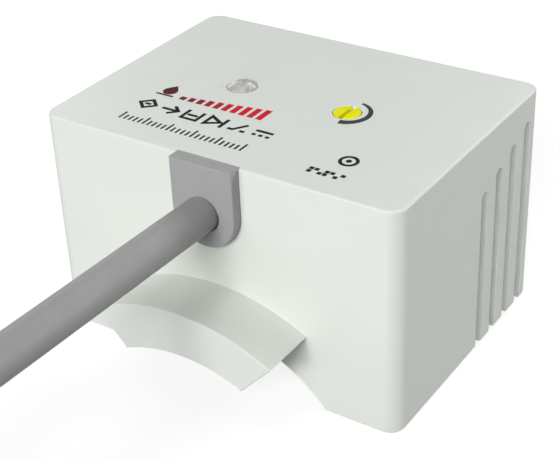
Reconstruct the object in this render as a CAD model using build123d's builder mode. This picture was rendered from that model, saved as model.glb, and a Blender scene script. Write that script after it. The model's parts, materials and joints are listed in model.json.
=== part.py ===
from build123d import *
from math import atan2, cos, degrees, hypot, pi, radians, sin, sqrt, tan
import os

os.makedirs("parts", exist_ok=True)

# ---------------------------------------------------------------------------------------------
# Driving dimensions, in millimetres.
# X runs to the right, Y from the cable side to the back, Z up. The origin is at the middle of
# the underside of the feet.
# ---------------------------------------------------------------------------------------------

# Housing
body_width = 33.0
body_depth = 24.1
body_height = 19.9
corner_radius = 1.3
edge_radius = 0.2
wall = 1.6
roof = 1.6
inner_corner_radius = 0.7

# Round channel that the pipe lies in, and the plate that closes the housing round it
saddle_radius = 13.2
saddle_rise = 4.8
foot_corner_radius = 0.5
plate_thickness = 1.5
glue_gap = 0.05

# Lips that the cable ties pass over, at the front and at the back
lip_reach = 5.05
lip_outer_radius = 17.2
lip_outer_half_width = 8.44
lip_inner_half_width = 5.61
lip_edge_radius = 0.1

# Upright grooves in both side walls, given by their middles from the front face
groove_from_front = 14.05
groove_pitch = 2.54
groove_count = 4
groove_width = 1.05
groove_depth = 0.7
groove_top = 14.75
groove_step = 0.93

# Cable and the grommet moulded on it, whose flange lies in a recess of the front wall
cable_radius = 1.5
cable_z = 15.65
cable_fit = 0.02
flange_half_width = 2.9
flange_recess = 0.3
flange_stand_out = 0.96
flange_edge_radius = 0.12
window_half_width = 2.1
window_top = 17.9
inner_flange_half_width = 2.6
inner_flange_thickness = 0.8
jacket_end_y = -7.4
crimp_thickness = 0.35
crimp_length = 1.6
crimp_gap = 0.05

# Status lamp: a light pipe over a lamp chip
lamp_x = -5.0
lamp_radius = 1.25
lamp_dome = 0.5
lamp_hole_radius = 1.3
lamp_flange_radius = 2.1
lamp_flange_thickness = 0.8
lamp_pipe_end = 15.8
lamp_chip_length = 3.2
lamp_chip_width = 2.8
lamp_chip_height = 1.8
lamp_chip_corner = 0.3
lamp_cup_radius = 1.1
lamp_cup_depth = 0.6
lamp_cup_taper = 20

# Sensitivity adjuster, a single-turn trimmer
adjuster_x = 5.15
rotor_radius = 1.13
rotor_top = 19.93
rotor_hole_radius = 1.2
slot_width = 0.42
slot_depth = 0.6
rotor_chamfer = 0.05
hole_chamfer = 0.04
seal_section_radius = 0.33
seal_clearance = 0.035
seal_pocket_wall = 0.8
seal_pocket_depth = 1.4
seal_drop = 0.1
trimmer_side = 6.6
trimmer_corner_radius = 0.4
trimmer_bottom = 13.8
trimmer_top = 16.6
trimmer_bore_radius = 2.5
element_bottom = 14.5
element_thickness = 0.4
track_thickness = 0.05
track_inner_radius = 1.5
track_outer_radius = 2.1
track_sweep = 290
wiper_bottom = 15.1
wiper_thickness = 0.15
wiper_hub_radius = 1.0
wiper_arm_width = 0.7
wiper_contact_radius = 0.2
wiper_contact_clearance = 0.03
wiper_stub_radius = 0.8
disc_bottom = 15.3
disc_top = 16.0
disc_radius = 2.3
retainer_thickness = 0.5
retainer_clearance = 0.08
pin_radius = 0.25
pin_pitch = 2.54
pin_stand_out = 0.8

# Circuit board
board_width = 29.2
board_depth = 19.4
board_middle_y = 0.4
board_top = 13.6
board_thickness = 1.2
board_corner_radius = 1.0
post_x = 12.4
post_front_y = -7.6
post_back_y = 8.2
post_spots = [(x, y) for x in (-post_x, post_x) for y in (post_front_y, post_back_y)]
post_radius = 1.3
stake_radius = 0.55
stake_clearance = 0.1
stake_head_radius = 0.95
stake_head_thickness = 0.5

# Controller chip, with gull-wing leads on its two long sides
chip_x = -6.2
chip_y = 1.5
chip_length = 8.6
chip_width = 3.9
chip_height = 1.35
chip_standoff = 0.15
chip_edge = 0.12
chip_lead_count = 7
chip_lead_pitch = 1.27
chip_lead_width = 0.4
chip_lead_thickness = 0.2
chip_lead_shoulder = 0.4
chip_lead_reach = 1.05

# Smaller parts under the board: middles, and length along X, width and height
regulator_spot = (7.6, 6.4)
regulator_size = (4.5, 2.5, 1.5)
regulator_edge = 0.2
regulator_lead_spots = [(6.1, 4.75), (7.6, 4.75), (9.1, 4.75)]
regulator_lead_size = (0.5, 0.8, 0.4)
transistor_spot = (7.2, -6.6)
transistor_size = (2.9, 1.3, 1.0)
transistor_edge = 0.15
transistor_lead_spots = [(6.25, -7.5), (8.15, -7.5), (7.2, -5.7)]
transistor_lead_size = (0.4, 0.5, 0.15)
diode_spots = [(-7.4, -4.2), (11.2, -4.2)]
diode_size = (2.6, 4.3, 2.0)
diode_terminal_offset = 2.4
diode_terminal_size = (1.4, 0.5, 0.9)
tantalum_spot = (12.0, 1.6)
tantalum_size = (2.8, 3.5, 1.9)
tantalum_terminal_offset = 2.0
tantalum_terminal_size = (2.2, 0.5, 1.0)
terminal_standoff = 0.1
ceramic_spots = [(-12.0, -3.2), (-12.0, 0.4), (-12.0, 4.0), (3.4, 7.6), (4.2, -6.6)]
ceramic_size = (1.25, 2.0, 1.1)
resistor_back_row = [(-8.6, 6.8), (-6.7, 6.8), (-4.8, 6.8), (-2.9, 6.8)]
resistor_front_row = [(-3.4, -6.8), (-1.4, -6.8)]
resistor_spots = [*resistor_back_row, *resistor_front_row, (2.4, 0.2), (8.4, 1.6)]
resistor_size = (0.8, 1.6, 0.45)

# Foil electrodes on the inside of the saddle plate
foil_gap = 0.03
foil_thickness = 0.12
electrode_half_angle = 33
electrode_half_length = 6.6
guard_half_angle = 41
guard_window_half_angle = 36
guard_half_length = 9.2
guard_window_half_length = 7.4
electrode_lead_radius = 0.3
electrode_lead_top = 13.9
sensing_lead_y = 3.4

# Cord: 2 m in all, with a coil of 16 and a half turns at the far end
coil_mean_radius = 18.0
coil_columns = 4
coil_layers = 5
coil_turns = 16.62
coil_edge_radius = 1.2
arc_share = 0.45
tie_thickness = 0.4
tie_width = 3.0
tie_angles = (30, 210)

# The three cores: their ends inside the housing, and their stripped ends on top of the coil
core_radius = 0.475
core_colours = ("brown", "black", "blue")
core_pads = [(-2.3, -4.4), (0, -3.8), (2.3, -4.4)]
core_straight = 1.2
core_start_heights = (0.35, -0.45, 0.35)
core_start_share = 0.25
core_drop = 0.2
core_pad_height = 0.35
core_bend_radius = 0.55
solder_radius = 0.75
solder_height = 0.45
solder_taper = 35
solder_wire_stand_out = 0.6
lead_offset_across = (-0.5, -0.05, 0.52)
lead_offset_up = (0.3, -0.6, 0.32)
lead_first_radius = 14.4
lead_gap = 1.6
lead_straight_angle = 16
lead_top_angles = (40, 72, 101, 127)
lead_top_drifts = (0, 0, -0.3, -0.9)
tip_radius = 0.3
tip_length = 6.0

# Values worked out from them
front_y = -body_depth / 2
cavity_width = body_width - 2 * wall
cavity_depth = body_depth - 2 * wall
cavity_top = body_height - roof
saddle_centre_z = saddle_rise - saddle_radius
board_bottom = board_top - board_thickness
plate_outer_radius = saddle_radius + plate_thickness
foil_inner_radius = plate_outer_radius + foil_gap
foil_outer_radius = foil_inner_radius + foil_thickness
foil_top = saddle_centre_z + foil_outer_radius
element_top = element_bottom + element_thickness
adjuster_spot = (adjuster_x, 0)
trimmer_pin_spots = [
    (adjuster_x - pin_pitch, -pin_pitch / 2),
    (adjuster_x + pin_pitch, -pin_pitch / 2),
    (adjuster_x, pin_pitch),
]
lamp_spot = (lamp_x, 0)
cable_diameter = 2 * cable_radius
guard_lead_y = (guard_half_length + guard_window_half_length) / 2
electrode_lead_spots = [(0, sensing_lead_y), (0, guard_lead_y)]


def height_on_circle(radius, x):
    """Height of a circle round the pipe's axis, at a distance x from the middle."""
    return saddle_centre_z + sqrt(radius**2 - x**2)


def channel_profile():
    """Everything under the saddle and the feet, seen from the front."""
    with BuildSketch(Plane.XZ) as profile:
        with Locations((0, saddle_centre_z)):
            Circle(saddle_radius)
        with Locations((0, -saddle_radius)):
            Rectangle(2 * body_width, 2 * saddle_radius)
        foot_corners = profile.vertices().group_by(Axis.Y)[-1].sort_by(Axis.X)[1:-1]
        fillet(foot_corners, foot_corner_radius)
    return profile.sketch


def round_bottomed_profile(y, half_width, top):
    """Outline of the grommet on an upright plane at y: flat at the top, round under the cable."""
    with BuildSketch(Plane.XZ.offset(-y)) as profile:
        with Locations((0, (cable_z + top) / 2)):
            Rectangle(2 * half_width, top - cable_z)
        with Locations((0, cable_z)):
            Circle(half_width)
    return profile.sketch


# ---------------------------------------------------------------------------------------------
# Housing: roof, four walls and two tie lips in one moulding, open at the bottom
# ---------------------------------------------------------------------------------------------
with BuildPart() as housing:
    with BuildSketch():
        RectangleRounded(body_width, body_depth, corner_radius)
    extrude(amount=body_height)
    rims = housing.edges().group_by(Axis.Z)[0] + housing.edges().group_by(Axis.Z)[-1]
    fillet(rims, edge_radius)

    # Tie lips, one profile through the body from front to back
    with BuildSketch(Plane.XZ):
        with BuildLine():
            outer_z = height_on_circle(lip_outer_radius, lip_outer_half_width)
            inner_z = height_on_circle(saddle_radius, lip_inner_half_width)
            ThreePointArc(
                (-lip_outer_half_width, outer_z),
                (0, saddle_centre_z + lip_outer_radius),
                (lip_outer_half_width, outer_z),
            )
            Line((lip_outer_half_width, outer_z), (lip_inner_half_width, inner_z))
            ThreePointArc(
                (lip_inner_half_width, inner_z),
                (0, saddle_rise),
                (-lip_inner_half_width, inner_z),
            )
            Line((-lip_inner_half_width, inner_z), (-lip_outer_half_width, outer_z))
        make_face()
    extrude(amount=body_depth / 2 + lip_reach, both=True)
    lip_ends = housing.faces().sort_by(Axis.Y)
    fillet(lip_ends[0].edges() + lip_ends[-1].edges(), lip_edge_radius)

    # Cavity, open at the bottom
    with BuildSketch(Plane.XY.offset(-1)):
        RectangleRounded(cavity_width, cavity_depth, inner_corner_radius)
    extrude(amount=cavity_top + 1, mode=Mode.SUBTRACT)

    # Pipe channel through the front and back walls
    extrude(channel_profile(), amount=body_depth, both=True, mode=Mode.SUBTRACT)

    # Recess for the grommet's flange, open at the top, and the window behind it
    recess_top = body_height + edge_radius
    recess = round_bottomed_profile(front_y, flange_half_width + cable_fit, recess_top)
    extrude(recess, amount=-flange_recess, mode=Mode.SUBTRACT)
    window = round_bottomed_profile(front_y, window_half_width, window_top)
    extrude(window, amount=-2 * wall, mode=Mode.SUBTRACT)

    # Side grooves, open at the bottom, each one taller than the one before it
    for side in (Plane.YZ.offset(body_width / 2 - groove_depth), Plane.YZ.offset(-body_width / 2)):
        for index in range(groove_count):
            middle = front_y + groove_from_front + index * groove_pitch
            straight_top = groove_top + index * groove_step - groove_width / 2
            with BuildSketch(side):
                with Locations((middle, (straight_top - 1) / 2)):
                    Rectangle(groove_width, straight_top + 1)
                with Locations((middle, straight_top)):
                    Circle(groove_width / 2)
            extrude(amount=groove_depth, mode=Mode.SUBTRACT)

    # Posts for the circuit board, with their ends melted over under it
    with BuildSketch(Plane.XY.offset(board_top)):
        with Locations(*post_spots):
            Circle(post_radius)
    extrude(amount=cavity_top - board_top)
    with BuildSketch(Plane.XY.offset(board_bottom)):
        with Locations(*post_spots):
            Circle(stake_radius)
    extrude(amount=board_thickness)
    with BuildSketch(Plane.XY.offset(board_bottom - stake_head_thickness)):
        with Locations(*post_spots):
            Circle(stake_head_radius)
    extrude(amount=stake_head_thickness)

    # Pocket for the adjuster's seal, under the roof
    with BuildSketch(Plane.XY.offset(cavity_top - seal_pocket_depth)):
        with Locations(adjuster_spot):
            seal_outer_radius = rotor_radius + seal_clearance + 2 * seal_section_radius
            Circle(seal_outer_radius + seal_clearance + seal_pocket_wall)
            Circle(seal_outer_radius + seal_clearance, mode=Mode.SUBTRACT)
    extrude(amount=seal_pocket_depth)

    # Holes in the roof for the adjuster and the lamp
    for spot, radius in ((adjuster_spot, rotor_hole_radius), (lamp_spot, lamp_hole_radius)):
        with BuildSketch(Plane.XY.offset(cavity_top)):
            with Locations(spot):
                Circle(radius)
        extrude(amount=roof, mode=Mode.SUBTRACT)
    top_face = housing.faces().sort_by(Axis.Z)[-1]
    chamfer(top_face.edges().filter_by(GeomType.CIRCLE).sort_by(SortBy.RADIUS)[-2:], hole_chamfer)
housing.part.label = "housing"

# ---------------------------------------------------------------------------------------------
# Saddle plate: closes the housing from below and lies against the pipe
# ---------------------------------------------------------------------------------------------
with BuildPart() as saddle_plate:
    with BuildSketch(Plane.XZ):
        with Locations((0, saddle_centre_z)):
            Circle(plate_outer_radius)
        Rectangle(body_width, 2 * plate_thickness)
    extrude(amount=body_depth / 2, both=True)
    extrude(channel_profile(), amount=body_depth, both=True, mode=Mode.SUBTRACT)
    with BuildSketch():
        RectangleRounded(
            cavity_width - 2 * glue_gap,
            cavity_depth - 2 * glue_gap,
            inner_corner_radius - glue_gap,
        )
    extrude(amount=body_height, mode=Mode.INTERSECT)
saddle_plate.part.label = "saddle_plate"


def foil_profile(half_angle):
    """Foil on the inside of the saddle plate, seen from the front, reaching the angle to both sides."""
    reach = 2 * foil_outer_radius
    side = reach * tan(radians(half_angle))
    with BuildSketch(Plane.XZ) as profile:
        with Locations((0, saddle_centre_z)):
            Circle(foil_outer_radius)
            Circle(foil_inner_radius, mode=Mode.SUBTRACT)
        with BuildLine():
            Polyline(
                (0, saddle_centre_z),
                (side, saddle_centre_z + reach),
                (-side, saddle_centre_z + reach),
                close=True,
            )
        make_face(mode=Mode.INTERSECT)
    return profile.sketch


with BuildPart() as sensing_electrode:
    extrude(foil_profile(electrode_half_angle), amount=electrode_half_length, both=True)
sensing_electrode.part.label = "sensing_electrode"

with BuildPart() as guard_electrode:
    extrude(foil_profile(guard_half_angle), amount=guard_half_length, both=True)
    window = foil_profile(guard_window_half_angle)
    extrude(window, amount=guard_window_half_length, both=True, mode=Mode.SUBTRACT)
guard_electrode.part.label = "guard_electrode"

# Pins from the middle of each foil up through the board
with BuildPart() as electrode_leads:
    with BuildSketch(Plane.XY.offset(foil_top)):
        with Locations(*electrode_lead_spots):
            Circle(electrode_lead_radius)
    extrude(amount=electrode_lead_top - foil_top)
electrode_leads.part.label = "electrode_leads"

# ---------------------------------------------------------------------------------------------
# Trimmer: the rotor and its wiper turn, the rest is fixed to the board
# ---------------------------------------------------------------------------------------------
with BuildPart() as trimmer_body:
    with BuildSketch(Plane.XY.offset(trimmer_bottom)):
        with Locations(adjuster_spot):
            RectangleRounded(trimmer_side, trimmer_side, trimmer_corner_radius)
    extrude(amount=trimmer_top - trimmer_bottom)
    with BuildSketch(Plane.XY.offset(element_bottom)):
        with Locations(adjuster_spot):
            Circle(trimmer_bore_radius)
    extrude(amount=trimmer_top - element_bottom, mode=Mode.SUBTRACT)
trimmer_body.part.label = "trimmer_body"

with BuildPart() as trimmer_element:
    with BuildSketch(Plane.XY.offset(element_bottom)):
        with Locations(adjuster_spot):
            Circle(trimmer_bore_radius - cable_fit)
    extrude(amount=element_thickness)
trimmer_element.part.label = "trimmer_element"

with BuildPart() as resistive_track:
    with BuildSketch(Plane.XY.offset(element_top)):
        with BuildLine():
            track_start = 270 + (360 - track_sweep) / 2
            outer = CenterArc(adjuster_spot, track_outer_radius, track_start, track_sweep)
            inner = CenterArc(adjuster_spot, track_inner_radius, track_start, track_sweep)
            Line(outer @ 0, inner @ 0)
            Line(outer @ 1, inner @ 1)
        make_face()
    extrude(amount=track_thickness)
resistive_track.part.label = "resistive_track"

with BuildPart() as trimmer_wiper:
    wiper_reach = (track_inner_radius + track_outer_radius) / 2
    with BuildSketch(Plane.XY.offset(wiper_bottom)):
        with Locations(adjuster_spot):
            Circle(wiper_hub_radius)
        with Locations((adjuster_x, wiper_reach / 2)):
            Rectangle(wiper_arm_width, wiper_reach)
        with Locations((adjuster_x, wiper_reach)):
            Circle(wiper_arm_width / 2)
    extrude(amount=wiper_thickness)
    contact_bottom = element_top + track_thickness + wiper_contact_clearance
    with BuildSketch(Plane.XY.offset(contact_bottom)):
        with Locations((adjuster_x, wiper_reach)):
            Circle(wiper_contact_radius)
    extrude(amount=wiper_bottom - contact_bottom)
trimmer_wiper.part.label = "trimmer_wiper"

with BuildPart() as trimmer_rotor:
    with BuildSketch(Plane.XY.offset(disc_bottom)):
        with Locations(adjuster_spot):
            Circle(disc_radius)
    extrude(amount=disc_top - disc_bottom)
    with BuildSketch(Plane.XY.offset(disc_top)):
        with Locations(adjuster_spot):
            Circle(rotor_radius)
    extrude(amount=rotor_top - disc_top)
    chamfer(trimmer_rotor.faces().sort_by(Axis.Z)[-1].edges(), rotor_chamfer)
    with BuildSketch(Plane.XY.offset(rotor_top)):
        with Locations(adjuster_spot):
            Rectangle(slot_width, 4 * rotor_radius)
    extrude(amount=-slot_depth, mode=Mode.SUBTRACT)
    # Stub that carries the wiper
    with BuildSketch(Plane.XY.offset(wiper_bottom + wiper_thickness)):
        with Locations(adjuster_spot):
            Circle(wiper_stub_radius)
    extrude(amount=disc_bottom - wiper_bottom - wiper_thickness)
trimmer_rotor.part.label = "trimmer_rotor"

with BuildPart() as trimmer_retainer:
    with BuildSketch(Plane.XY.offset(trimmer_top - retainer_thickness)):
        with Locations(adjuster_spot):
            Circle(trimmer_bore_radius - cable_fit)
            Circle(rotor_radius + retainer_clearance, mode=Mode.SUBTRACT)
    extrude(amount=retainer_thickness)
trimmer_retainer.part.label = "trimmer_retainer"

with BuildPart() as trimmer_pins:
    pin_bottom = board_bottom - pin_stand_out
    with BuildSketch(Plane.XY.offset(pin_bottom)):
        with Locations(*trimmer_pin_spots):
            Circle(pin_radius)
    extrude(amount=trimmer_bottom - pin_bottom)
trimmer_pins.part.label = "trimmer_pins"

with BuildPart() as adjuster_seal:
    seal_ring_radius = rotor_radius + seal_clearance + seal_section_radius
    seal_z = cavity_top - seal_section_radius - seal_drop
    with BuildSketch(Plane.XZ):
        with Locations((adjuster_x + seal_ring_radius, seal_z)):
            Circle(seal_section_radius)
    revolve(axis=Axis((adjuster_x, 0, 0), (0, 0, 1)))
adjuster_seal.part.label = "adjuster_seal"

# ---------------------------------------------------------------------------------------------
# Status lamp: a clear light pipe with a low dome, over a lamp chip on the board
# ---------------------------------------------------------------------------------------------
with BuildPart() as status_lens:
    with BuildSketch(Plane.XZ):
        with BuildLine():
            Polyline(
                (lamp_x, body_height + lamp_dome),
                (lamp_x, lamp_pipe_end),
                (lamp_x + lamp_radius, lamp_pipe_end),
                (lamp_x + lamp_radius, cavity_top - lamp_flange_thickness),
                (lamp_x + lamp_flange_radius, cavity_top - lamp_flange_thickness),
                (lamp_x + lamp_flange_radius, cavity_top),
                (lamp_x + lamp_radius, cavity_top),
                (lamp_x + lamp_radius, body_height),
            )
            dome_radius = (lamp_radius**2 + lamp_dome**2) / (2 * lamp_dome)
            dome_turn = atan2(lamp_radius, dome_radius - lamp_dome) / 2
            ThreePointArc(
                (lamp_x + lamp_radius, body_height),
                (
                    lamp_x + dome_radius * sin(dome_turn),
                    body_height + lamp_dome - dome_radius * (1 - cos(dome_turn)),
                ),
                (lamp_x, body_height + lamp_dome),
            )
        make_face()
    revolve(axis=Axis((lamp_x, 0, 0), (0, 0, 1)))
status_lens.part.label = "status_lens"

with BuildPart() as status_led:
    with BuildSketch(Plane.XY.offset(board_top)):
        with Locations(lamp_spot):
            RectangleRounded(lamp_chip_length, lamp_chip_width, lamp_chip_corner)
    extrude(amount=lamp_chip_height)
    with BuildSketch(Plane.XY.offset(board_top + lamp_chip_height)):
        with Locations(lamp_spot):
            Circle(lamp_cup_radius)
    extrude(amount=-lamp_cup_depth, taper=lamp_cup_taper, mode=Mode.SUBTRACT)
status_led.part.label = "status_led"

# ---------------------------------------------------------------------------------------------
# Circuit board and the parts soldered to its underside
# ---------------------------------------------------------------------------------------------
with BuildPart() as circuit_board:
    with BuildSketch(Plane.XY.offset(board_bottom)):
        with Locations((0, board_middle_y)):
            RectangleRounded(board_width, board_depth, board_corner_radius)
        with Locations(*post_spots):
            Circle(stake_radius + stake_clearance, mode=Mode.SUBTRACT)
        with Locations(*electrode_lead_spots, *trimmer_pin_spots, *core_pads):
            Circle(electrode_lead_radius + stake_clearance, mode=Mode.SUBTRACT)
    extrude(amount=board_thickness)
circuit_board.part.label = "circuit_board"


def hang(spot, size, standoff=0.0):
    """A block under the board, added to the piece that is being made."""
    length, width, height = size
    with BuildSketch(Plane.XY.offset(board_bottom - standoff - height)) as outline:
        with Locations(spot):
            Rectangle(length, width)
    extrude(outline.sketch, amount=height)


with BuildPart() as controller_chip:
    hang((chip_x, chip_y), (chip_length, chip_width, chip_height), chip_standoff)
    chamfer(controller_chip.edges().filter_by(Axis.Z), chip_edge)
controller_chip.part.label = "controller_chip"

with BuildPart() as controller_leads:
    lead_middle_z = board_bottom - chip_standoff - chip_height / 2
    lead_upper_z = lead_middle_z + chip_lead_thickness / 2
    lead_lower_z = lead_middle_z - chip_lead_thickness / 2
    foot_z = board_bottom - chip_lead_thickness
    for side in (-1, 1):
        near = chip_y + side * chip_width / 2
        shoulder = near + side * chip_lead_shoulder
        heel = shoulder + side * chip_lead_thickness
        toe = near + side * chip_lead_reach
        for index in range(chip_lead_count):
            x = chip_x + (index - (chip_lead_count - 1) / 2) * chip_lead_pitch
            with BuildSketch(Plane.YZ.offset(x - chip_lead_width / 2)):
                with BuildLine():
                    Polyline(
                        (near, lead_upper_z),
                        (shoulder, lead_upper_z),
                        (shoulder, board_bottom),
                        (toe, board_bottom),
                        (toe, foot_z),
                        (heel, foot_z),
                        (heel, lead_lower_z),
                        (near, lead_lower_z),
                        close=True,
                    )
                make_face()
            extrude(amount=chip_lead_width)
controller_leads.part.label = "controller_leads"

with BuildPart() as voltage_regulator:
    hang(regulator_spot, regulator_size)
    chamfer(voltage_regulator.faces().sort_by(Axis.Z)[0].edges(), regulator_edge)
    for spot in regulator_lead_spots:
        hang(spot, regulator_lead_size)
voltage_regulator.part.label = "voltage_regulator"

with BuildPart() as output_transistor:
    hang(transistor_spot, transistor_size)
    chamfer(output_transistor.faces().sort_by(Axis.Z)[0].edges(), transistor_edge)
    for spot in transistor_lead_spots:
        hang(spot, transistor_lead_size)
output_transistor.part.label = "output_transistor"

with BuildPart() as protection_diodes:
    for x, y in diode_spots:
        hang((x, y), diode_size, terminal_standoff)
        for terminal_y in (y - diode_terminal_offset, y + diode_terminal_offset):
            hang((x, terminal_y), diode_terminal_size)
protection_diodes.part.label = "protection_diodes"

with BuildPart() as tantalum_capacitor:
    hang(tantalum_spot, tantalum_size, terminal_standoff)
    x, y = tantalum_spot
    for terminal_y in (y - tantalum_terminal_offset, y + tantalum_terminal_offset):
        hang((x, terminal_y), tantalum_terminal_size)
tantalum_capacitor.part.label = "tantalum_capacitor"

with BuildPart() as ceramic_capacitors:
    for spot in ceramic_spots:
        hang(spot, ceramic_size)
ceramic_capacitors.part.label = "ceramic_capacitors"

with BuildPart() as chip_resistors:
    for spot in resistor_spots:
        hang(spot, resistor_size)
chip_resistors.part.label = "chip_resistors"

# ---------------------------------------------------------------------------------------------
# Cable entry: grommet, crimp band and the three cores
# ---------------------------------------------------------------------------------------------
with BuildPart() as cable_grommet:
    flange_back_y = front_y + flange_recess
    flange_front_y = front_y - flange_stand_out
    flange = round_bottomed_profile(flange_back_y, flange_half_width, body_height)
    extrude(flange, amount=flange_recess + flange_stand_out)
    fillet(cable_grommet.faces().sort_by(Axis.Y)[0].edges(), flange_edge_radius)
    neck = round_bottomed_profile(
        flange_back_y, window_half_width - cable_fit, window_top - cable_fit
    )
    extrude(neck, amount=-(wall - flange_recess))
    inner_flange = round_bottomed_profile(front_y + wall, inner_flange_half_width, window_top)
    extrude(inner_flange, amount=-inner_flange_thickness)
    with BuildSketch(Plane.XZ.offset(-flange_front_y)):
        with Locations((0, cable_z)):
            Circle(cable_radius + cable_fit)
    bore_length = flange_stand_out + wall + inner_flange_thickness
    extrude(amount=-bore_length, mode=Mode.SUBTRACT)
cable_grommet.part.label = "cable_grommet"

crimp_front_y = front_y + wall + inner_flange_thickness + crimp_gap
with BuildPart() as cable_crimp:
    with BuildSketch(Plane.XZ.offset(-crimp_front_y)):
        with Locations((0, cable_z)):
            Circle(cable_radius + cable_fit + crimp_thickness)
            Circle(cable_radius + cable_fit, mode=Mode.SUBTRACT)
    extrude(amount=-crimp_length)
cable_crimp.part.label = "cable_crimp"


def tube(points, radius, bend_radii):
    """A round wire or cable of straight runs joined by arcs."""
    with BuildPart() as piece:
        with BuildLine() as path:
            FilletPolyline(*points, radius=bend_radii)
        with BuildSketch(Plane(path.line @ 0, z_dir=path.line % 0)):
            Circle(radius)
        sweep(path=path.line)
    return piece


# Cores from the end of the jacket down to their pads on the board
core_end_z = board_top + core_pad_height
cores = {}
for (pad_x, pad_y), colour, start_height in zip(core_pads, core_colours, core_start_heights):
    start_x = core_start_share * pad_x
    start_z = cable_z + start_height
    core_route = [
        (start_x, jacket_end_y, start_z),
        (start_x, jacket_end_y + core_straight, start_z),
        (pad_x, pad_y, start_z - core_drop),
        (pad_x, pad_y, core_end_z),
    ]
    cores[colour] = tube(core_route, core_radius, [core_bend_radius, core_bend_radius])
    cores[colour].part.label = f"core_{colour}"

with BuildPart() as core_solder:
    for pad in core_pads:
        with BuildSketch(Plane.XY.offset(board_bottom - solder_wire_stand_out)):
            with Locations(pad):
                Circle(tip_radius)
        extrude(amount=core_end_z - board_bottom + solder_wire_stand_out)
        with BuildSketch(Plane.XY.offset(board_bottom)):
            with Locations(pad):
                Circle(solder_radius)
        extrude(amount=-solder_height, taper=solder_taper)
core_solder.part.label = "core_solder"

# ---------------------------------------------------------------------------------------------
# Potting resin between the saddle plate and the board, cast round everything there
# ---------------------------------------------------------------------------------------------
under_board = [
    sensing_electrode,
    guard_electrode,
    electrode_leads,
    trimmer_pins,
    controller_chip,
    controller_leads,
    voltage_regulator,
    output_transistor,
    protection_diodes,
    tantalum_capacitor,
    ceramic_capacitors,
    chip_resistors,
    core_solder,
]
with BuildPart() as potting_resin:
    with BuildSketch(Plane.XY.offset(plate_thickness)):
        RectangleRounded(
            cavity_width - glue_gap,
            cavity_depth - glue_gap,
            inner_corner_radius - glue_gap / 2,
        )
    extrude(amount=board_bottom - plate_thickness)
    with BuildSketch(Plane.XZ):
        with Locations((0, saddle_centre_z)):
            Circle(foil_inner_radius)
    extrude(amount=body_depth, both=True, mode=Mode.SUBTRACT)
    with BuildSketch(Plane.XY.offset(board_bottom - stake_head_thickness)):
        with Locations(*post_spots):
            Circle(stake_head_radius + cable_fit)
    extrude(amount=stake_head_thickness, mode=Mode.SUBTRACT)
    for piece in under_board:
        add(piece.part, mode=Mode.SUBTRACT)
potting_resin.part.label = "potting_resin"

# ---------------------------------------------------------------------------------------------
# Cord: a tube to the coil, the coil's outer shape, two ties and the stripped end
# ---------------------------------------------------------------------------------------------
coil_bottom = tie_thickness
coil_inner_radius = coil_mean_radius - coil_columns * cable_radius
coil_outer_radius = coil_mean_radius + coil_columns * cable_radius
coil_top = coil_bottom + coil_layers * cable_diameter

route = [
    (0, jacket_end_y, cable_z),
    (0, -42, cable_z),
    (-3, -76, cable_radius),
    (-13, -96, coil_bottom + cable_radius),
]


def arc_radii(points):
    """Radius of the arc at each corner: a share of the shorter run over the tangent of half the turn."""
    radii = []
    for before, corner, after in zip(points, points[1:], points[2:]):
        run_in = Vector(corner) - Vector(before)
        run_out = Vector(after) - Vector(corner)
        half_turn = radians(run_in.get_angle(run_out) / 2)
        radii.append(arc_share * min(run_in.length, run_out.length) / tan(half_turn))
    return radii


route_radii = arc_radii(route)
cable = tube(route, cable_radius, route_radii)
cable.part.label = "cable"
with BuildLine() as route_line:
    FilletPolyline(*route, radius=route_radii)
route_length = sum(edge.length for edge in route_line.edges())
print("cable arc radii", [round(radius, 1) for radius in route_radii])
print("cable length", round(route_length, 1))
print("cable volume", round(cable.part.volume, 1))
print("section times length", round(pi * cable_radius**2 * route_length, 1))
print("coiled length", round(coil_turns * 2 * pi * coil_mean_radius, 1))

# The cable runs into the lowest, outermost turn along its tangent, and turns to the left
entry_x, entry_y, entry_z = route[-1]
run_x = entry_x - route[-2][0]
run_y = entry_y - route[-2][1]
run = hypot(run_x, run_y)
entry_radius = coil_outer_radius - cable_radius
coil_x = entry_x - entry_radius * run_y / run
coil_y = entry_y + entry_radius * run_x / run
entry_angle = degrees(atan2(entry_y - coil_y, entry_x - coil_x))
jacket_end_angle = entry_angle + 360 * coil_turns
print("coil centre", round(coil_x, 3), round(coil_y, 3))
print("entry angle", round(entry_angle, 2))

with BuildPart() as cable_coil:
    with BuildSketch(Plane((coil_x, coil_y, 0), x_dir=(1, 0, 0), z_dir=(0, -1, 0))):
        with Locations((coil_mean_radius, (coil_bottom + coil_top) / 2)):
            RectangleRounded(
                coil_outer_radius - coil_inner_radius,
                coil_top - coil_bottom,
                coil_edge_radius,
            )
    revolve(axis=Axis((coil_x, coil_y, 0), (0, 0, 1)))
cable_coil.part.label = "cable_coil"

with BuildPart() as coil_ties:
    for tie_angle in tie_angles:
        across = (cos(radians(tie_angle)), sin(radians(tie_angle)), 0)
        along = (sin(radians(tie_angle)), -cos(radians(tie_angle)), 0)
        with BuildSketch(Plane((coil_x, coil_y, 0), x_dir=across, z_dir=along)):
            with Locations((coil_mean_radius, (coil_bottom + coil_top) / 2)):
                RectangleRounded(
                    coil_outer_radius - coil_inner_radius + 2 * tie_thickness,
                    coil_top - coil_bottom + 2 * tie_thickness,
                    coil_edge_radius + tie_thickness,
                )
                RectangleRounded(
                    coil_outer_radius - coil_inner_radius,
                    coil_top - coil_bottom,
                    coil_edge_radius,
                    mode=Mode.SUBTRACT,
                )
        extrude(amount=tie_width / 2, both=True)
coil_ties.part.label = "coil_ties"

# Stripped cores: out of the jacket's end on the innermost column, up and along the coil's top,
# with tinned ends
jacket_end_radius = coil_inner_radius + cable_radius
jacket_end_z = coil_top - cable_radius
lead_z = coil_top + core_radius


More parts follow.
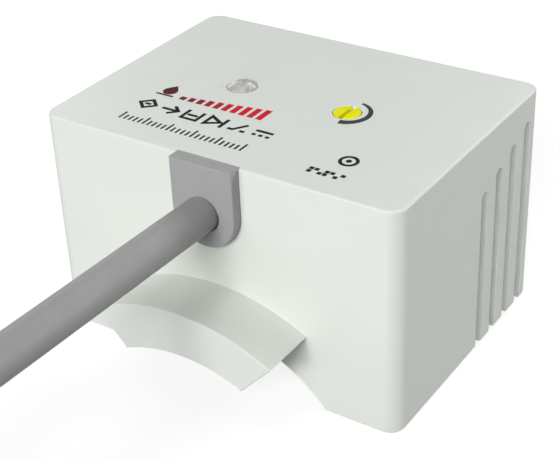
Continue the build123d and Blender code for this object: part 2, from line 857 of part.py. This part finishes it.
def past_jacket_end(radius, turn, z):
    """A point at an angle past the end of the jacket, round the coil's middle."""
    angle = radians(jacket_end_angle + turn)
    return (coil_x + radius * cos(angle), coil_y + radius * sin(angle), z)


leads = {}
tip_planes = []
for index, colour in enumerate(core_colours):
    start_radius = jacket_end_radius + lead_offset_across[index]
    start_z = jacket_end_z + lead_offset_up[index]
    top_radius = lead_first_radius + index * lead_gap
    lead_route = [
        past_jacket_end(start_radius, 0, start_z),
        past_jacket_end(start_radius / cos(radians(lead_straight_angle)), lead_straight_angle, start_z),
    ]
    for turn, drift in zip(lead_top_angles, lead_top_drifts):
        lead_route.append(past_jacket_end(top_radius + drift, turn, lead_z))
    leads[colour] = tube(lead_route, core_radius, arc_radii(lead_route))
    leads[colour].part.label = f"lead_{colour}"
    lead_end = Vector(lead_route[-1])
    tip_planes.append(Plane(lead_end, z_dir=lead_end - Vector(lead_route[-2])))

with BuildPart() as lead_tips:
    for plane in tip_planes:
        with BuildSketch(plane):
            Circle(tip_radius)
        extrude(amount=tip_length)
lead_tips.part.label = "lead_tips"

pieces = [
    housing,
    saddle_plate,
    sensing_electrode,
    guard_electrode,
    electrode_leads,
    trimmer_body,
    trimmer_element,
    resistive_track,
    trimmer_wiper,
    trimmer_rotor,
    trimmer_retainer,
    trimmer_pins,
    adjuster_seal,
    status_lens,
    status_led,
    circuit_board,
    controller_chip,
    controller_leads,
    voltage_regulator,
    output_transistor,
    protection_diodes,
    tantalum_capacitor,
    ceramic_capacitors,
    chip_resistors,
    cable_grommet,
    cable_crimp,
    *cores.values(),
    core_solder,
    potting_resin,
    cable,
    cable_coil,
    coil_ties,
    *leads.values(),
    lead_tips,
]
for piece in pieces:
    export_step(piece.part, f"parts/{piece.part.label}.step")
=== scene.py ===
import json
from math import atan2, ceil, cos, degrees, hypot, pi, radians, sin

import bmesh
import bpy
from mathutils import Matrix, Vector


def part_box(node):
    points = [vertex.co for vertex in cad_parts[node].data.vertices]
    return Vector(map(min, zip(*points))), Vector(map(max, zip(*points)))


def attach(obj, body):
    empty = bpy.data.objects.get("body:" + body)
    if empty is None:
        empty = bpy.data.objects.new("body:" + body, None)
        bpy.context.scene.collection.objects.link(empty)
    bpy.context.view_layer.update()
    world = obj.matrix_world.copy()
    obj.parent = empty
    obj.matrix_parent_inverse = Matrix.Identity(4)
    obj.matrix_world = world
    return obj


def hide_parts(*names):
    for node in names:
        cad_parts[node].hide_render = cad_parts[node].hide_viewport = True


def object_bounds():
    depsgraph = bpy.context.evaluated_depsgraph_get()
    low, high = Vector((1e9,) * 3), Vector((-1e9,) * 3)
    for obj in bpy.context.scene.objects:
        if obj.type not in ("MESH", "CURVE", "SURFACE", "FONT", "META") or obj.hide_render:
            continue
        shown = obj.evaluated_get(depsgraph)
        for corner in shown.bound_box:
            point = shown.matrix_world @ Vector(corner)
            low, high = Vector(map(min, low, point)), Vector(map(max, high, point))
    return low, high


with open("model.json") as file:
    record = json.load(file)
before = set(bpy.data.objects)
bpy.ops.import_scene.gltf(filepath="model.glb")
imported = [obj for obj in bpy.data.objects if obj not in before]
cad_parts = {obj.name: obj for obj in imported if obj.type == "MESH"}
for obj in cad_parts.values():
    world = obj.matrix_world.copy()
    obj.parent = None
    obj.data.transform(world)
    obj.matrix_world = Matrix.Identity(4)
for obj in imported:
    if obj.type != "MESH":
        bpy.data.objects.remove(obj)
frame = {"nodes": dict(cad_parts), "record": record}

MM = 0.001
START_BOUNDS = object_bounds()
SCENE = bpy.context.scene


def link(thing):
    """Puts a new object in the scene."""
    SCENE.collection.objects.link(thing)
    return thing


def mesh_object(name, mesh):
    """A new object in the scene from a bmesh, which is freed."""
    data = bpy.data.meshes.new(name)
    mesh.to_mesh(data)
    mesh.free()
    return link(bpy.data.objects.new(name, data))


def middle_of(node):
    """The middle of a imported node's box."""
    low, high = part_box(node)
    return (low + high) / 2


def direction(azimuth, elevation):
    """Unit vector at an azimuth, counted from the front to the right, and an elevation, in degrees."""
    across, above = radians(azimuth), radians(elevation)
    return Vector((sin(across) * cos(above), -cos(across) * cos(above), sin(above)))


# ---------------------------------------------------------------------------------------------
# Camera: in front, to the right and above, aimed past the housing's front face
# ---------------------------------------------------------------------------------------------
CAMERA_AZIMUTH = 34.60
CAMERA_ELEVATION = 31.19
CAMERA_ROLL = radians(-2.55)
CAMERA_DISTANCE = 0.09965
CAMERA_LENS = 86.75
CAMERA_SENSOR = 36
CAMERA_CLIP = (0.01, 10)
AIM_FROM_MIDDLE = Vector((0.00616, -0.01205, 0.0056))


def make_camera():
    back = direction(CAMERA_AZIMUTH, CAMERA_ELEVATION)
    level = Vector((0, 0, 1)).cross(back).normalized()
    upright = back.cross(level)
    right = cos(CAMERA_ROLL) * level + sin(CAMERA_ROLL) * upright
    up = back.cross(right)
    data = bpy.data.cameras.new("camera")
    data.lens = CAMERA_LENS
    data.sensor_width = CAMERA_SENSOR
    data.clip_start, data.clip_end = CAMERA_CLIP
    camera = link(bpy.data.objects.new("camera", data))
    turn = Matrix((right, up, back)).transposed().to_4x4()
    place = middle_of("housing") + AIM_FROM_MIDDLE + back * CAMERA_DISTANCE
    camera.matrix_world = Matrix.Translation(place) @ turn
    SCENE.camera = camera


make_camera()

# ---------------------------------------------------------------------------------------------
# Cord: straight out of the grommet, down to the floor and into the coil
# ---------------------------------------------------------------------------------------------
CORD_DIAMETER = 3 * MM
CORD_HEIGHT = 15.65
# Millimetres. The second and third points keep the cable level for its first 40 mm
CORD_ROUTE = [
    (0, -7.4, CORD_HEIGHT),
    (-0.5, -31, CORD_HEIGHT),
    (-0.8, -42, CORD_HEIGHT),
    (-3, -76, 1.5),
    (-13, -96, 1.9),
]
COIL_TURNS = 16.62
COIL_COLUMNS = 4
COIL_LAYERS = 5
POINTS_PER_TURN = 16
# In each turn the cable moves sideways by its own diameter over SHIFT degrees, and it climbs to
# the next layer over CLIMB degrees just before the shifts of the turns under it
SHIFT = 140
CLIMB = 70
TUBE_STEPS = 6
SHARP_ANGLE = 40


def eased(share):
    """0 before the start, 1 after the end, with a smooth rise between."""
    return (1 - cos(pi * min(1.0, max(0.0, share)))) / 2


def coil_radius_and_height(turned, outermost, lowest, pitch):
    """Radius and height of the coiled cable after it has turned by that many degrees."""
    radius, height = outermost, lowest
    shifts = COIL_COLUMNS - 1
    for layer in range(COIL_LAYERS):
        start = layer * (360 * (shifts + 1) - SHIFT - CLIMB)
        inwards = -1 if layer % 2 == 0 else 1
        for index in range(shifts):
            radius += inwards * pitch * eased((turned - start - 360 * index) / SHIFT)
        if layer < COIL_LAYERS - 1:
            height += pitch * eased((turned - start - 360 * shifts + CLIMB) / CLIMB)
    return radius, height


def cord_points():
    """Control points of the whole cord, in metres."""
    points = [Vector(point) * MM for point in CORD_ROUTE]
    middle = middle_of("cable_coil")
    entry = points[-1]
    entry_angle = degrees(atan2(entry.y - middle.y, entry.x - middle.x))
    outermost = hypot(entry.x - middle.x, entry.y - middle.y)
    step = 360 / POINTS_PER_TURN
    # A control point lies a little outside the circle that its spline follows
    outside = 1 / cos(radians(step / 2))
    for index in range(1, ceil(COIL_TURNS * POINTS_PER_TURN) + 1):
        turned = min(index * step, 360 * COIL_TURNS)
        radius, height = coil_radius_and_height(turned, outermost, entry.z, CORD_DIAMETER)
        angle = radians(entry_angle + turned)
        reach = radius * outside
        points.append(Vector((middle.x + reach * cos(angle), middle.y + reach * sin(angle), height)))
    return points


def make_cord():
    """The cord as a tube, and the points of its centreline."""
    points = cord_points()
    curve = bpy.data.curves.new("cord_line", "CURVE")
    curve.dimensions = "3D"
    curve.resolution_u = TUBE_STEPS
    spline = curve.splines.new("NURBS")
    spline.points.add(len(points) - 1)
    for place, point in zip(spline.points, points):
        place.co = (*point, 1)
    spline.order_u = 3
    spline.use_endpoint_u = True
    line = bpy.data.objects.new("cord_line", curve)
    centreline = bpy.data.meshes.new_from_object(line)
    path = [tuple(vertex.co) for vertex in centreline.vertices]
    curve.bevel_depth = CORD_DIAMETER / 2
    curve.bevel_resolution = TUBE_STEPS
    curve.use_fill_caps = True
    tube = bpy.data.meshes.new_from_object(line)
    tube.polygons.foreach_set("use_smooth", [True] * len(tube.polygons))
    tube.set_sharp_from_angle(angle=radians(SHARP_ANGLE))
    bpy.data.objects.remove(line)
    return link(bpy.data.objects.new("sensor_cord", tube)), path


cord, cord_path = make_cord()
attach(cord, "sensor")
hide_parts("cable", "cable_coil")

# ---------------------------------------------------------------------------------------------
# Materials: sizes of grain and relief are in metres
# ---------------------------------------------------------------------------------------------
INK_RELIEF = 0.001 * MM
INK_SPECULAR = 0.15
# Places along X where the fading ink starts to turn red and where it is fully red
RED_FADE = (-10.7 * MM, -1.0 * MM)


class Nodes:
    """Builds one material's node tree, step by step."""

    def __init__(self, name):
        self.name = name
        self.material = bpy.data.materials.new(name)
        self.material.use_nodes = True
        self.tree = self.material.node_tree
        self.shader = self.tree.nodes["Principled BSDF"]
        self.place = self.add("ShaderNodeTexCoord").outputs["Object"]

    def add(self, kind, **settings):
        node = self.tree.nodes.new(kind)
        for name, value in settings.items():
            setattr(node, name, value)
        return node

    def join(self, output, socket):
        self.tree.links.new(output, socket)

    def stretched(self, scale):
        mapping = self.add("ShaderNodeMapping")
        mapping.inputs["Scale"].default_value = scale
        self.join(self.place, mapping.inputs["Vector"])
        return mapping.outputs["Vector"]

    def noise(self, size, detail=3.0, roughness=0.55, place=None):
        """Noise with spots of about the given size in metres."""
        node = self.add("ShaderNodeTexNoise")
        node.inputs["Scale"].default_value = 1 / size
        node.inputs["Detail"].default_value = detail
        node.inputs["Roughness"].default_value = roughness
        self.join(place or self.place, node.inputs["Vector"])
        return node.outputs["Fac"]

    def between(self, factor, low, high, start=0.3, end=0.7):
        """The factor spread from low to high, as a number."""
        node = self.add("ShaderNodeMapRange")
        node.inputs["From Min"].default_value = start
        node.inputs["From Max"].default_value = end
        node.inputs["To Min"].default_value = low
        node.inputs["To Max"].default_value = high
        self.join(factor, node.inputs["Value"])
        return node.outputs["Result"]

    def colours(self, factor, *stops):
        """The factor turned into a colour by (position, colour) stops."""
        ramp = self.add("ShaderNodeValToRGB")
        elements = ramp.color_ramp.elements
        while len(elements) < len(stops):
            elements.new(0.5)
        for element, (position, colour) in zip(elements, stops):
            element.position = position
            element.color = (*colour, 1)
        self.join(factor, ramp.inputs["Fac"])
        return ramp.outputs["Color"]

    def bump(self, height, distance, strength=1.0, under=None):
        node = self.add("ShaderNodeBump")
        node.inputs["Distance"].default_value = distance
        node.inputs["Strength"].default_value = strength
        self.join(height, node.inputs["Height"])
        if under is not None:
            self.join(under, node.inputs["Normal"])
        return node.outputs["Normal"]

    def set(self, **values):
        """Values on the shader itself; a word's underscores stand for spaces."""
        for name, value in values.items():
            self.shader.inputs[name.replace("_", " ")].default_value = value

    def link_to(self, **outputs):
        for name, output in outputs.items():
            self.join(output, self.shader.inputs[name.replace("_", " ")])


def shades(colour, spread):
    """A darker and a lighter shade of a colour."""
    darker = tuple(channel * (1 - spread) for channel in colour)
    lighter = tuple(min(1.0, channel * (1 + spread)) for channel in colour)
    return darker, lighter


def moulded(name, colour, roughness, spread=0.02, blotch=4 * MM, grain=0.12 * MM, relief=0.002 * MM):
    """Moulded plastic: slight flow marks in colour and gloss, and a fine spark-eroded grain."""
    nodes = Nodes(name)
    darker, lighter = shades(colour, spread)
    flow = nodes.noise(blotch, detail=4)
    tint = nodes.colours(flow, (0.3, darker), (0.7, lighter))
    gloss = nodes.between(nodes.noise(blotch / 5), roughness - 0.05, roughness + 0.06)
    fine = nodes.bump(nodes.noise(grain, detail=2), relief)
    relief_normal = nodes.bump(nodes.noise(blotch / 2, detail=1), relief * 2, 0.5, under=fine)
    nodes.link_to(Base_Color=tint, Roughness=gloss, Normal=relief_normal)
    nodes.set(IOR=1.49)
    return nodes


def extruded(name, colour, roughness, spread=0.05, relief=0.004 * MM):
    """Extruded insulation or jacket: matt, with faint dull patches from handling."""
    nodes = Nodes(name)
    darker, lighter = shades(colour, spread)
    patches = nodes.noise(3 * MM, detail=5)
    tint = nodes.colours(patches, (0.3, darker), (0.7, lighter))
    gloss = nodes.between(nodes.noise(1 * MM), roughness - 0.07, roughness + 0.08)
    normal = nodes.bump(nodes.noise(0.3 * MM, detail=3), relief)
    nodes.link_to(Base_Color=tint, Roughness=gloss, Normal=normal)
    nodes.set(IOR=1.5)
    return nodes


def metal(name, colour, roughness, along=(1, 1, 12), grain=0.08 * MM, relief=0.001 * MM):
    """Metal with fine lines from drawing or rolling, and slight tarnish."""
    nodes = Nodes(name)
    darker, lighter = shades(colour, 0.12)
    tarnish = nodes.noise(1.5 * MM, detail=5)
    lines = nodes.noise(grain, detail=2, place=nodes.stretched(along))
    tint = nodes.colours(tarnish, (0.3, darker), (0.7, lighter))
    gloss = nodes.between(lines, roughness - 0.08, roughness + 0.12)
    nodes.link_to(Base_Color=tint, Roughness=gloss, Normal=nodes.bump(lines, relief))
    nodes.set(Metallic=1.0)
    return nodes


def granular(name, colour, roughness, grain, relief, spread=0.15, **values):
    """A fired, cast, laminated or printed material whose grains show."""
    nodes = Nodes(name)
    darker, lighter = shades(colour, spread)
    grains = nodes.noise(grain, detail=6, roughness=0.7)
    tint = nodes.colours(grains, (0.35, darker), (0.65, lighter))
    gloss = nodes.between(grains, roughness - 0.08, roughness + 0.1)
    nodes.link_to(Base_Color=tint, Roughness=gloss, Normal=nodes.bump(grains, relief))
    nodes.set(**values)
    return nodes


def lens_plastic():
    """Clear lamp lens with a faint grey tint: gloss, some haze and a few flow lines."""
    nodes = Nodes("clear_plastic")
    haze = nodes.noise(0.45 * MM, detail=4)
    tint = nodes.colours(haze, (0.35, (0.64, 0.62, 0.62)), (0.65, (0.88, 0.86, 0.86)))
    gloss = nodes.between(haze, 0.22, 0.36)
    normal = nodes.bump(nodes.noise(0.7 * MM, detail=1), 0.02 * MM)
    nodes.link_to(Base_Color=tint, Roughness=gloss, Normal=normal)
    nodes.set(Transmission_Weight=0.35, IOR=1.5)
    return nodes


def ink(name, colour, spread=0.15):
    """Printed ink in one colour."""
    return granular(name, colour, 0.5, 0.1 * MM, INK_RELIEF, spread, Specular_IOR_Level=INK_SPECULAR)


def fading_ink(dark_x, bright_x):
    """Printed ink that goes from near black to red along X."""
    nodes = Nodes("red_ink")
    split = nodes.add("ShaderNodeSeparateXYZ")
    nodes.join(nodes.place, split.inputs["Vector"])
    along = nodes.between(split.outputs["X"], 0.0, 1.0, dark_x, bright_x)
    near_black, dark_red, red = (0.035, 0.008, 0.010), (0.22, 0.008, 0.014), (0.66, 0.010, 0.03)
    tint = nodes.colours(along, (0.0, near_black), (0.35, dark_red), (0.8, red))
    gloss = nodes.between(nodes.noise(0.2 * MM), 0.35, 0.5)
    normal = nodes.bump(nodes.noise(0.05 * MM), INK_RELIEF)
    nodes.link_to(Base_Color=tint, Roughness=gloss, Normal=normal)
    nodes.set(Specular_IOR_Level=INK_SPECULAR)
    return nodes


def make_materials():
    """One material for each of the record's slots, and one more for the adjuster's scale."""
    made = [
        moulded("housing_plastic", (0.78, 0.815, 0.765), 0.42, spread=0.01),
        moulded("grommet_plastic", (0.365, 0.365, 0.365), 0.5, spread=0.03),
        extruded("cable_jacket", (0.325, 0.325, 0.325), 0.55),
        lens_plastic(),
        moulded("yellow_plastic", (0.94, 0.90, 0.0), 0.35, spread=0.03, blotch=1 * MM),
        ink("black_ink", (0.010, 0.010, 0.012)),
        fading_ink(*RED_FADE),
        ink("scale_ink", (0.052, 0.052, 0.058), spread=0.1),
        moulded("seal_rubber", (0.02, 0.02, 0.02), 0.7, spread=0.2, blotch=1 * MM),
        moulded("blue_plastic", (0.03, 0.12, 0.42), 0.4, spread=0.05, blotch=2 * MM),
        moulded("white_plastic", (0.82, 0.82, 0.78), 0.4, blotch=1 * MM),
        granular("ceramic", (0.62, 0.50, 0.36), 0.55, 0.15 * MM, 0.004 * MM),
        granular("carbon_track", (0.02, 0.02, 0.02), 0.5, 0.1 * MM, 0.003 * MM),
        metal("spring_brass", (0.78, 0.58, 0.25), 0.25),
        metal("tinned_steel", (0.62, 0.62, 0.60), 0.3),
        metal("copper_foil", (0.80, 0.38, 0.22), 0.28, along=(1, 12, 1)),
        granular("board_laminate", (0.02, 0.16, 0.06), 0.35, 0.4 * MM, 0.006 * MM, Coat_Weight=0.4),
        granular("black_epoxy", (0.018, 0.018, 0.018), 0.55, 0.08 * MM, 0.003 * MM),
        granular("tantalum_resin", (0.72, 0.42, 0.05), 0.45, 0.1 * MM, 0.003 * MM),
        granular("potting_resin", (0.02, 0.02, 0.025), 0.2, 2.5 * MM, 0.03 * MM, Coat_Weight=0.5),
        metal("solder", (0.68, 0.68, 0.68), 0.22, along=(1, 1, 1), grain=0.4 * MM),
        extruded("brown_insulation", (0.13, 0.05, 0.02), 0.42),
        extruded("black_insulation", (0.012, 0.012, 0.012), 0.42, spread=0.2),
        extruded("blue_insulation", (0.01, 0.08, 0.42), 0.42),
        extruded("tie_plastic", (0.015, 0.015, 0.016), 0.45, spread=0.2),
    ]
    return {nodes.name: nodes.material for nodes in made}


MATERIALS = make_materials()


def dress(thing, slot):
    """Gives an object the material of a slot, in all of its own slots."""
    if not thing.data.materials:
        thing.data.materials.append(MATERIALS[slot])
    for place in thing.material_slots:
        place.material = MATERIALS[slot]


for part in frame["record"]["subparts"]:
    dress(frame["nodes"][part["node"]], part["material_slot"])
dress(cord, "cable_jacket")

# ---------------------------------------------------------------------------------------------
# Printed marks on the roof: thin layers of ink. Positions are in millimetres, X from the middle
# of the housing and Y from its front face.
# ---------------------------------------------------------------------------------------------
ROOF_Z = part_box("housing")[1].z
GROMMET_STAND_OUT = 0.96 * MM
FRONT_FACE_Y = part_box("cable_grommet")[0].y + GROMMET_STAND_OUT
INK_ABOVE = 0.012 * MM
INK_BELOW = 0.004 * MM


def arc(middle, radius, start, end, count=24):
    """Points on an arc, from one angle to the other in degrees."""
    angles = [radians(start + (end - start) * index / count) for index in range(count + 1)]
    return [(middle[0] + radius * cos(angle), middle[1] + radius * sin(angle)) for angle in angles]


def ribbon_sides(points, width, closed):
    """Points to the left and right of a line, with mitred corners."""
    left, right = [], []
    count = len(points)
    for index, point in enumerate(points):
        here = Vector(point)
        before = Vector(points[index - 1]) if index or closed else here
        after = Vector(points[(index + 1) % count]) if index + 1 < count or closed else here
        way_in = (here - before).normalized() if before != here else (after - here).normalized()
        way_out = (after - here).normalized() if after != here else way_in
        side_in = Vector((-way_in.y, way_in.x))
        side_out = Vector((-way_out.y, way_out.x))
        mitre = (side_in + side_out).normalized()
        reach = width / 2 / max(0.4, mitre.dot(side_in))
        left.append(here + mitre * reach)
        right.append(here - mitre * reach)
    return left, right


class Ink:
    """One layer of ink, gathered from ribbons and filled outlines."""

    def __init__(self, name, slot):
        self.mesh = bmesh.new()
        self.name = name
        self.slot = slot

    def corner(self, point, z):
        return self.mesh.verts.new((point[0] * MM, FRONT_FACE_Y + point[1] * MM, z))

    def outline(self, points):
        """A filled outline, with edges that reach down into the roof."""
        top = [self.corner(point, ROOF_Z + INK_ABOVE) for point in points]
        bottom = [self.corner(point, ROOF_Z - INK_BELOW) for point in points]
        self.mesh.faces.new(top)
        self.mesh.faces.new(bottom[::-1])
        for index in range(len(points)):
            following = (index + 1) % len(points)
            self.mesh.faces.new((top[index], bottom[index], bottom[following], top[following]))

    def bar(self, x, y, width, height):
        """A filled rectangle from its lower left corner."""
        self.outline([(x, y), (x + width, y), (x + width, y + height), (x, y + height)])

    def ribbon(self, points, width, closed=False):
        """A line of the given width."""
        left, right = ribbon_sides(points, width, closed)
        count = len(points)
        for index in range(count if closed else count - 1):
            following = (index + 1) % count
            self.outline([right[index], right[following], left[following], left[index]])

    def finish(self):
        bmesh.ops.recalc_face_normals(self.mesh, faces=self.mesh.faces)
        thing = mesh_object(self.name, self.mesh)
        dress(thing, self.slot)
        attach(thing, "sensor")


# Pictograms in a square of side 1, as lines: (points, closed)
PICTOGRAMS = {
    "sensor": [([(0.5, 0), (1, 0.5), (0.5, 1), (0, 0.5)], True), ([(0.32, 0.5), (0.68, 0.5)], False)],
    "buffer": [([(0.05, 0.05), (0.8, 0.5), (0.05, 0.95)], True), ([(1, 0), (1, 1)], False)],
    "open_contact": [([(0, 0.2), (0.3, 0.2), (0.8, 0.95)], False), ([(0.72, 0.2), (1, 0.2)], False)],
    "direct": [
        ([(0, 0.72), (1, 0.72)], False),
        ([(0, 0.28), (0.22, 0.28)], False),
        ([(0.39, 0.28), (0.61, 0.28)], False),
        ([(0.78, 0.28), (1, 0.28)], False),
    ],
    "arrow": [([(0, 0.5), (0.9, 0.5)], False), ([(0.55, 0.95), (1, 0.5), (0.55, 0.05)], False)],
    "tank": [
        ([(0.05, 1), (0.05, 0.05), (0.95, 0.05), (0.95, 1)], False),
        ([(0.2, 0.5), (0.8, 0.5)], False),
    ],
}


def print_level_scale():
    """A drop over a level line, then bars that rise from left to right."""
    drop_tip, drop_middle, drop_radius = (-9.75, 9.45), (-9.75, 8.4), 0.64
    level_line, level_stroke = [(-10.6, 7.6), (-8.9, 7.6)], 0.22
    bar_x, bar_y, bar_pitch, bar_width = -8.25, 7.5, 0.84, 0.54
    first_height, height_step, bar_count = 0.55, 0.14, 10
    ink_layer = Ink("printed_level_scale", "red_ink")
    ink_layer.outline([drop_tip, *arc(drop_middle, drop_radius, 40, -220)])
    ink_layer.ribbon(level_line, level_stroke)
    for index in range(bar_count):
        ink_layer.bar(bar_x + index * bar_pitch, bar_y, bar_width, first_height + height_step * index)
    ink_layer.finish()


def print_function_symbols():
    """A row of pictograms for what the output does."""
    names = ("sensor", "arrow", "tank", "buffer", "open_contact", "direct")
    row_x, row_y, width, height, gap, stroke = -10.7, 4.85, 1.6, 1.5, 0.65, 0.3
    ink_layer = Ink("printed_function_symbols", "black_ink")
    for index, name in enumerate(names):
        x = row_x + index * (width + gap)
        for points, closed in PICTOGRAMS[name]:
            placed = [(x + px * width, row_y + py * height) for px, py in points]
            ink_layer.ribbon(placed, stroke, closed)
    ink_layer.finish()


def print_rule():
    """A rule with every fifth tick longer."""
    rule_x, rule_y, pitch, stroke, tick_count = -10.45, 2.45, 0.47, 0.18, 26
    long_tick, short_tick = 1.15, 0.75
    ink_layer = Ink("printed_rule", "black_ink")
    for index in range(tick_count):
        x = rule_x + index * pitch
        height = short_tick if index % 5 else long_tick
        ink_layer.ribbon([(x, rule_y), (x, rule_y + height)], stroke)
    ink_layer.finish()


def print_corner_mark():
    """A target mark over two rows of small squares."""
    target, ring_radius, ring_stroke, dot_radius = (9.45, 5.05), 0.68, 0.28, 0.24
    squares_x, squares_y, pitch, side = 7.4, 2.2, 0.45, 0.37
    rows = ("1011010", "1101101")
    ink_layer = Ink("printed_corner_mark", "black_ink")
    ink_layer.ribbon(arc(target, ring_radius, 0, 345, 23), ring_stroke, closed=True)
    ink_layer.outline(arc(target, dot_radius, 0, 330, 11))
    for row, pattern in enumerate(rows):
        for column, filled in enumerate(pattern):
            if filled == "1":
                ink_layer.bar(squares_x + column * pitch, squares_y + row * pitch, side, side)
    ink_layer.finish()


def print_adjuster_scale():
    """Crescent round the right-hand side of the adjuster, thicker towards the front."""
    outer_radius, thin, thick = 2.08, 0.26, 0.66
    start, end, count = 82, -82, 40
    rotor = middle_of("trimmer_rotor")
    middle = (rotor.x / MM, (rotor.y - FRONT_FACE_Y) / MM)
    outer = arc(middle, outer_radius, start, end, count)
    inner = []
    for index in range(count + 1):
        share = index / count
        angle = radians(start + (end - start) * share)
        radius = outer_radius - thin - (thick - thin) * share
        inner.append((middle[0] + radius * cos(angle), middle[1] + radius * sin(angle)))
    ink_layer = Ink("printed_adjuster_scale", "scale_ink")
    for index in range(count):
        ink_layer.outline([outer[index], outer[index + 1], inner[index + 1], inner[index]])
    ink_layer.finish()


print_level_scale()
print_function_symbols()
print_rule()
print_corner_mark()
print_adjuster_scale()

# ---------------------------------------------------------------------------------------------
# Floor and light. The object is lit by the lights and the world alone, so that its underside is
# shaded. The floor and the backdrop throw no light on it.
# ---------------------------------------------------------------------------------------------
STUDIO_RADIUS = 1.5
FLOOR_BELOW = 0.02 * MM
FLOOR_SHADES = (0.40, 0.42)
# The floor's own emission is weaker near the object than far from it, which paints a soft shade round
# the object on top of the shadows that the lights cast; then the distances from the object, in metres,
# where the emission starts to rise and where it is full
NEAR_GLOW_PAINTED_SHADE, FAR_GLOW = 0.69, 1.0
GLOW_RISES, GLOW_FULL = 0.15, 0.9
# Strength of the light from below the horizon, and how soft that edge is
TABLE_GLOW = 0.354
HORIZON_BLUR = 0.01
WHITE = (1, 1, 1, 1)
BLACK = (0, 0, 0, 1)
LIGHT_DISTANCE = 0.6
# Name, azimuth and elevation in degrees, side in metres, power in watts
LIGHTS = [
    ("front", 0, 24, 0.14, 1.37),
    ("front_right", 20, 34, 0.14, 1.06),
    ("front_left", -15, 18, 0.3, 0.95),
    ("back_right", 120, 18, 0.3, 1.62),
    ("back", 180, 38, 0.3, 1.3),
    ("above", -40, 76, 0.3, 0.4),
    ("back_left", -120, 18, 0.3, 0.78),
]


def show_to_camera_only(thing):
    thing.visible_diffuse = False
    thing.visible_glossy = False
    thing.visible_transmission = False
    thing.visible_shadow = False


def make_floor():
    """White floor that takes soft shadows from the lights near the object, with painted shade round
    the object where its emission is weaker.
    """
    nodes = Nodes("floor")
    dust = nodes.noise(40 * MM, detail=4)
    darker, lighter = ((shade, shade, shade) for shade in FLOOR_SHADES)
    tint = nodes.colours(dust, (0.3, darker), (0.7, lighter))
    # Painted shade: the floor's emission rises with the distance from the object, so the floor is
    # darker round it
    distance = nodes.add("ShaderNodeVectorMath", operation="LENGTH")
    nodes.join(nodes.place, distance.inputs[0])
    glow_with_painted_shade = nodes.between(distance.outputs["Value"], NEAR_GLOW_PAINTED_SHADE, FAR_GLOW, GLOW_RISES, GLOW_FULL)
    nodes.link_to(Base_Color=tint, Emission_Strength=glow_with_painted_shade)
    nodes.set(Roughness=0.8, Emission_Color=WHITE)
    mesh = bmesh.new()
    bmesh.ops.create_grid(mesh, x_segments=8, y_segments=8, size=STUDIO_RADIUS)
    floor = mesh_object("floor", mesh)
    floor.data.materials.append(nodes.material)
    floor.location.z = START_BOUNDS[0].z - FLOOR_BELOW
    show_to_camera_only(floor)


def make_backdrop():
    """Plain white shell round the floor."""
    nodes = Nodes("backdrop")
    nodes.set(Base_Color=BLACK, Emission_Color=WHITE, Emission_Strength=1.0)
    mesh = bmesh.new()
    bmesh.ops.create_uvsphere(mesh, u_segments=48, v_segments=24, radius=STUDIO_RADIUS)
    backdrop = mesh_object("backdrop", mesh)
    backdrop.data.materials.append(nodes.material)
    show_to_camera_only(backdrop)


def make_light(name, azimuth, elevation, size, power):
    """A soft square light aimed at the housing."""
    back = direction(azimuth, elevation)
    data = bpy.data.lights.new(name, "AREA")
    data.size = size
    data.energy = power
    light = link(bpy.data.objects.new(name, data))
    light.location = middle_of("housing") + back * LIGHT_DISTANCE
    light.rotation_mode = "QUATERNION"
    light.rotation_quaternion = back.to_track_quat("Z", "Y")


def make_world():
    """Light from below, as from a pale table top, and none from above."""
    world = bpy.data.worlds.new("studio")
    world.use_nodes = True
    tree = world.node_tree
    place = tree.nodes.new("ShaderNodeTexCoord")
    split = tree.nodes.new("ShaderNodeSeparateXYZ")
    below = tree.nodes.new("ShaderNodeMapRange")
    below.inputs["From Min"].default_value = 0.0
    below.inputs["From Max"].default_value = -HORIZON_BLUR
    below.inputs["To Max"].default_value = TABLE_GLOW
    tree.links.new(place.outputs["Generated"], split.inputs["Vector"])
    tree.links.new(split.outputs["Z"], below.inputs["Value"])
    background = tree.nodes["Background"]
    background.inputs["Color"].default_value = WHITE
    tree.links.new(below.outputs["Result"], background.inputs["Strength"])
    SCENE.world = world


make_floor()
make_backdrop()
for light_facts in LIGHTS:
    make_light(*light_facts)
make_world()
SCENE.view_settings.view_transform = "Standard"
